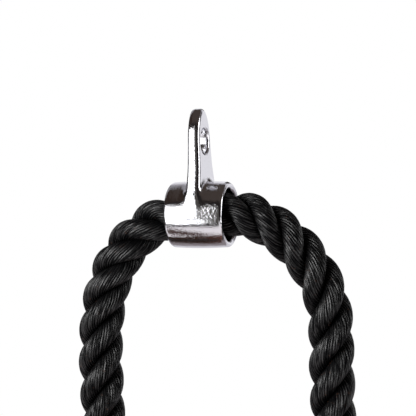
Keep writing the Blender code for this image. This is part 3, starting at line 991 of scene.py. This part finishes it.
plastic_finish = moulded_plastic()
dish_floor = CAP_INSET + DISH_DEPTH
cap_rows = [(GATE_RADIUS * 0.8, dish_floor + RING_DEPTH), (GATE_RADIUS, dish_floor)]
for radius in RING_RADII:
    cap_rows += [
        (radius - RING_WIDTH / 2, dish_floor),
        (radius - RING_WIDTH / 4, dish_floor + RING_DEPTH),
        (radius + RING_WIDTH / 4, dish_floor + RING_DEPTH),
        (radius + RING_WIDTH / 2, dish_floor),
    ]
cap_rows += [(DISH_RADIUS, dish_floor), (DISH_RADIUS + DISH_DEPTH, CAP_INSET)]
for turn in round_turns:
    edge_radius = CAP_RADIUS - CAP_ROUND + CAP_ROUND * math.sin(turn)
    cap_rows.append((edge_radius, CAP_INSET + CAP_ROUND - CAP_ROUND * math.cos(turn)))
cap_rows += [
    (CAP_RADIUS, CAP_INSET + CAP_THICKNESS),
    (CAP_RADIUS / 2, CAP_INSET + CAP_THICKNESS),
]
cap_rows = np.array(cap_rows)
angles = np.linspace(0, math.tau, CAP_AROUND, endpoint=False)
for side, foot in leg_feet.items():
    cap = turned("end_cap_" + side, cap_rows[:, :1], cap_rows[:, 1:], angles, foot, False)
    cap.data.materials.append(plastic_finish)
    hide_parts(side + "_end_cap")
    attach(cap, side + "_leg")


# Studio: a pale floor under the hanging part, one soft lamp, and cards that only reflections
# see. They stand for the room round a product table: a dark ceiling, a bright sheet in front on
# the left, the grey room beside it, and the table with its dark edge and its shadows.
CEILING_HEIGHT = 0.60
ROOM_RADIUS = 3.0
ROOM_CUT = 1.5


def emitting(name, colour, strength):
    """A plain light-giving finish for a card."""
    finish = bpy.data.materials.new(name)
    finish.use_nodes = True
    tree = finish.node_tree
    tree.nodes.clear()
    glow = add_node(tree, "ShaderNodeEmission", {"Color": to_linear(colour), "Strength": strength})
    add_node(tree, "ShaderNodeOutputMaterial", {"Surface": glow.outputs[0]})
    return finish


def only_reflected(name, mesh):
    """Stage a mesh that reflections alone see."""
    staged = put(name, mesh)
    staged.visible_camera = False
    staged.visible_diffuse = False
    staged.visible_shadow = False
    staged.visible_transmission = False
    staged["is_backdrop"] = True


def card(name, corners, colour, strength=1.0):
    """A flat card that reflections alone see, from its four corners."""
    mesh = bpy.data.meshes.new(name)
    mesh.from_pydata(corners, [], [(0, 1, 2, 3)])
    mesh.materials.append(emitting(name, colour, strength))
    only_reflected(name, mesh)


def level_card(name, height, colour, outline):
    """A level card, its height from the collar's axis, and its corners' x and y."""
    card(name, [(x, y, height - COLLAR_DROP) for x, y in outline], colour)


# The dark room round the camera, as a ball that is open behind the object
room_mesh = bpy.data.meshes.new("room")
ball = bmesh.new()
bmesh.ops.create_uvsphere(ball, u_segments=48, v_segments=24, radius=ROOM_RADIUS)
bmesh.ops.bisect_plane(
    ball,
    geom=ball.verts[:] + ball.edges[:] + ball.faces[:],
    plane_co=(0, ROOM_CUT, 0),
    plane_no=(0, 1, 0),
    clear_outer=True,
)
ball.to_mesh(room_mesh)
ball.free()
room_mesh.materials.append(emitting("dark_room", "#242120", 1.0))
only_reflected("room", room_mesh)
# Two dark screens behind the object, so that the plate has something to show from behind
for side, sign in SIDES:
    near, far = (sign * 0.75, 1.30), (sign * 1.25, 0.80)
    card("screen_" + side, [(*near, -0.9), (*far, -0.9), (*far, 1.2), (*near, 1.2)], "#3A3634")
# A narrow bright sheet on the right, a little behind: it lines the lug's edge and the mouth's rim
card(
    "side_strip",
    [(1.199, -0.042, -0.5), (1.096, 0.488, -0.5), (1.096, 0.488, 0.9), (1.199, -0.042, 0.9)],
    "#FFFFFF",
    3.5,
)
# A dark shade behind and above, which the hollow curve at the lug's foot shows
card(
    "back_shade",
    [(-0.32, 1.40, 0.22), (0.36, 1.40, 0.22), (0.36, 1.40, 1.45), (-0.32, 1.40, 1.45)],
    "#3A3331",
)
# Overhead it is dark, grey behind on the left, and pale at the very back
for name, colour, outline in (
    ("ceiling", "#332924", [(-1.2, -0.52), (-0.277, -0.52), (-0.277, 0.19), (-1.2, 0.19)]),
    ("ceiling_grey", "#929094", [(-1.2, 0.19), (-0.277, 0.19), (-0.277, 0.60), (-1.2, 0.60)]),
    ("ceiling_dim", "#453D39", [(-0.277, -0.52), (1.2, -0.52), (1.2, 0.60), (-0.277, 0.60)]),
    ("ceiling_pale", "#BDBAC0", [(-1.2, 0.60), (1.2, 0.60), (1.2, 0.90), (-1.2, 0.90)]),
):
    level_card(name, CEILING_HEIGHT, colour, outline)
# The bright sheet in front on the left, the grey strip over it, and the grey room beside it
card(
    "front_sheet",
    [(-1.6, -0.56, -0.36), (-0.230, -0.86, -0.46), (-0.230, -0.86, 0.47), (-1.6, -0.56, 0.47)],
    "#FFFFFF",
    2.2,
)
card(
    "sheet_top",
    [(-1.6, -0.56, 0.47), (-0.230, -0.86, 0.47), (-0.230, -0.86, 0.56), (-1.6, -0.56, 0.56)],
    "#8E8B8A",
)
card(
    "front_room",
    [(-0.229, -0.87, -0.46), (0.30, -0.87, -0.46), (0.30, -0.87, 0.42), (-0.229, -0.87, 0.42)],
    "#55524F",
)
# The table under the part, pale in front and grey further back. Just over it lie its dark edge,
# a stripe that runs aslant, and a dark band that bends round to the front at its right end.
for name, height, colour, outline in (
    ("near", -0.505, "#E4E0E2", [(-1.2, -1.50), (1.2, -1.50), (1.2, -0.62), (-1.2, -0.62)]),
    ("front", -0.505, "#F4EFF1", [(-1.2, -0.62), (1.2, -0.62), (1.2, -0.11), (-1.2, -0.11)]),
    ("edge", -0.50, "#1C1816", [(-1.2, -1.60), (0.2, -1.60), (0.2, -0.78), (-1.2, -0.55)]),
    ("stripe", -0.50, "#46342F", [(-0.42, -0.60), (-0.13, -0.28), (-0.13, -0.12), (-0.42, -0.36)]),
    ("line", -0.505, "#8F8587", [(-1.2, -0.11), (1.2, -0.11), (1.2, 0.0), (-1.2, 0.0)]),
    ("hollow", -0.50, "#33251F", [(-0.36, -0.09), (-0.13, -0.15), (-0.13, 0.20), (-0.36, 0.11)]),
    ("bend", -0.50, "#4A332E", [(-0.13, -0.15), (-0.08, -0.23), (-0.08, 0.12), (-0.13, 0.20)]),
    ("end", -0.50, "#62463F", [(-0.08, -0.23), (0.3, -0.20), (0.3, -0.02), (-0.08, 0.05)]),
    ("far", -0.505, "#8C8487", [(-1.2, 0.0), (1.2, 0.0), (1.2, 0.45), (-1.2, 0.45)]),
    ("back", -0.505, "#D8D6DC", [(-1.2, 0.45), (1.2, 0.45), (1.2, 1.6), (-1.2, 1.6)]),
):
    level_card("table_" + name, height, colour, outline)

# The floor: a pale disc that fades to the white round it
FLOOR_RADIUS = 1.05
FLOOR_HEIGHT = -0.46
floor_mesh = bpy.data.meshes.new("floor")
disc = bmesh.new()
bmesh.ops.create_circle(disc, cap_ends=True, segments=96, radius=FLOOR_RADIUS)
disc.to_mesh(floor_mesh)
disc.free()
floor = put("floor", floor_mesh)
floor.location = (0, 0, FLOOR_HEIGHT)
floor_finish, tree, shader, place = new_finish("pale_floor")
shader.inputs["Base Color"].default_value = to_linear("#F4F4F4")
shader.inputs["Roughness"].default_value = 0.9
from_middle = add_node(tree, "ShaderNodeVectorMath", {0: place}, operation="LENGTH")
fade = add_node(
    tree,
    "ShaderNodeMapRange",
    {"Value": from_middle.outputs["Value"], "From Min": 0.55, "From Max": 1.0},
)
white = add_node(tree, "ShaderNodeEmission", {"Strength": 1.0})
faded = add_node(
    tree, "ShaderNodeMixShader", {0: fade.outputs[0], 1: shader.outputs[0], 2: white.outputs[0]}
)
# From below the floor is clear, so that the object's underside can be looked at
side_seen = add_node(tree, "ShaderNodeNewGeometry").outputs["Backfacing"]
clear_below = add_node(tree, "ShaderNodeBsdfTransparent")
one_sided = add_node(
    tree,
    "ShaderNodeMixShader",
    {0: side_seen, 1: faded.outputs[0], 2: clear_below.outputs[0]},
)
tree.links.new(one_sided.outputs[0], tree.nodes["Material Output"].inputs["Surface"])
floor_mesh.materials.append(floor_finish)
floor.visible_glossy = False
floor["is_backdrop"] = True

# The world: white behind the object, a little greyer in the plate, weaker as light
world = bpy.data.worlds.new("studio")
bpy.context.scene.world = world
world.use_nodes = True
sky = world.node_tree
sky.nodes.clear()
rays = add_node(sky, "ShaderNodeLightPath").outputs
seen = add_node(sky, "ShaderNodeBackground", {"Color": (1, 1, 1, 1), "Strength": 1})
mirrored = add_node(sky, "ShaderNodeBackground", {"Color": to_linear("#F1F0F4"), "Strength": 0.97})
lighting = add_node(sky, "ShaderNodeBackground", {"Color": (1, 1, 1, 1), "Strength": 0.55})
shown = lighting
for ray, other in (
    ("Is Glossy Ray", mirrored),
    ("Is Transmission Ray", mirrored),
    ("Is Camera Ray", seen),
):
    shown = add_node(
        sky, "ShaderNodeMixShader", {0: rays[ray], 1: shown.outputs[0], 2: other.outputs[0]}
    )
add_node(sky, "ShaderNodeOutputWorld", {"Surface": shown.outputs[0]})

# The lamp: soft and square, in front on the left, turned to just below the collar
light = bpy.data.lights.new("key_lamp", "AREA")
light.size = 0.6
light.energy = 26
lamp = put("key_lamp", light)
lamp.location = (-0.8, -1.1, 0.12)
lamp_way = Vector((0, 0, -0.1)) - lamp.location
lamp.rotation_euler = lamp_way.to_track_quat("-Z", "Y").to_euler()


# Camera: at the photograph's place, level with the collar and a little to its right.
CAMERA_AZIMUTH = math.radians(18)
CAMERA_ELEVATION = math.radians(5.2)
CAMERA_ROLL = math.radians(2.2)
CAMERA_DISTANCE = 1.35
PIXEL = 0.00066
PICTURE_WIDTH = 416
COLLAR_ACROSS = 201.9
COLLAR_DOWN = 214.8
SENSOR_WIDTH = 36
camera_data = bpy.data.cameras.new("camera")
camera = put("camera", camera_data)
bpy.context.scene.camera = camera
back = Vector(
    (
        math.sin(CAMERA_AZIMUTH) * math.cos(CAMERA_ELEVATION),
        -math.cos(CAMERA_AZIMUTH) * math.cos(CAMERA_ELEVATION),
        math.sin(CAMERA_ELEVATION),
    )
)
facing = (-back).to_track_quat("-Z", "Y") @ Quaternion((0, 0, 1), -CAMERA_ROLL)
right = facing @ Vector((1, 0, 0))
up = facing @ Vector((0, 1, 0))
# The collar's middle lies where the photograph has it
across = PICTURE_WIDTH / 2 - COLLAR_ACROSS
down = COLLAR_DOWN - PICTURE_WIDTH / 2
aim = Vector((0, 0, -COLLAR_DROP)) + right * across * PIXEL + up * down * PIXEL
camera.location = aim + back * CAMERA_DISTANCE
camera.rotation_mode = "QUATERNION"
camera.rotation_quaternion = facing
camera_data.sensor_width = SENSOR_WIDTH
camera_data.lens = SENSOR_WIDTH * CAMERA_DISTANCE / (PICTURE_WIDTH * PIXEL)
bpy.context.scene.view_settings.view_transform = "Standard"

low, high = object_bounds()
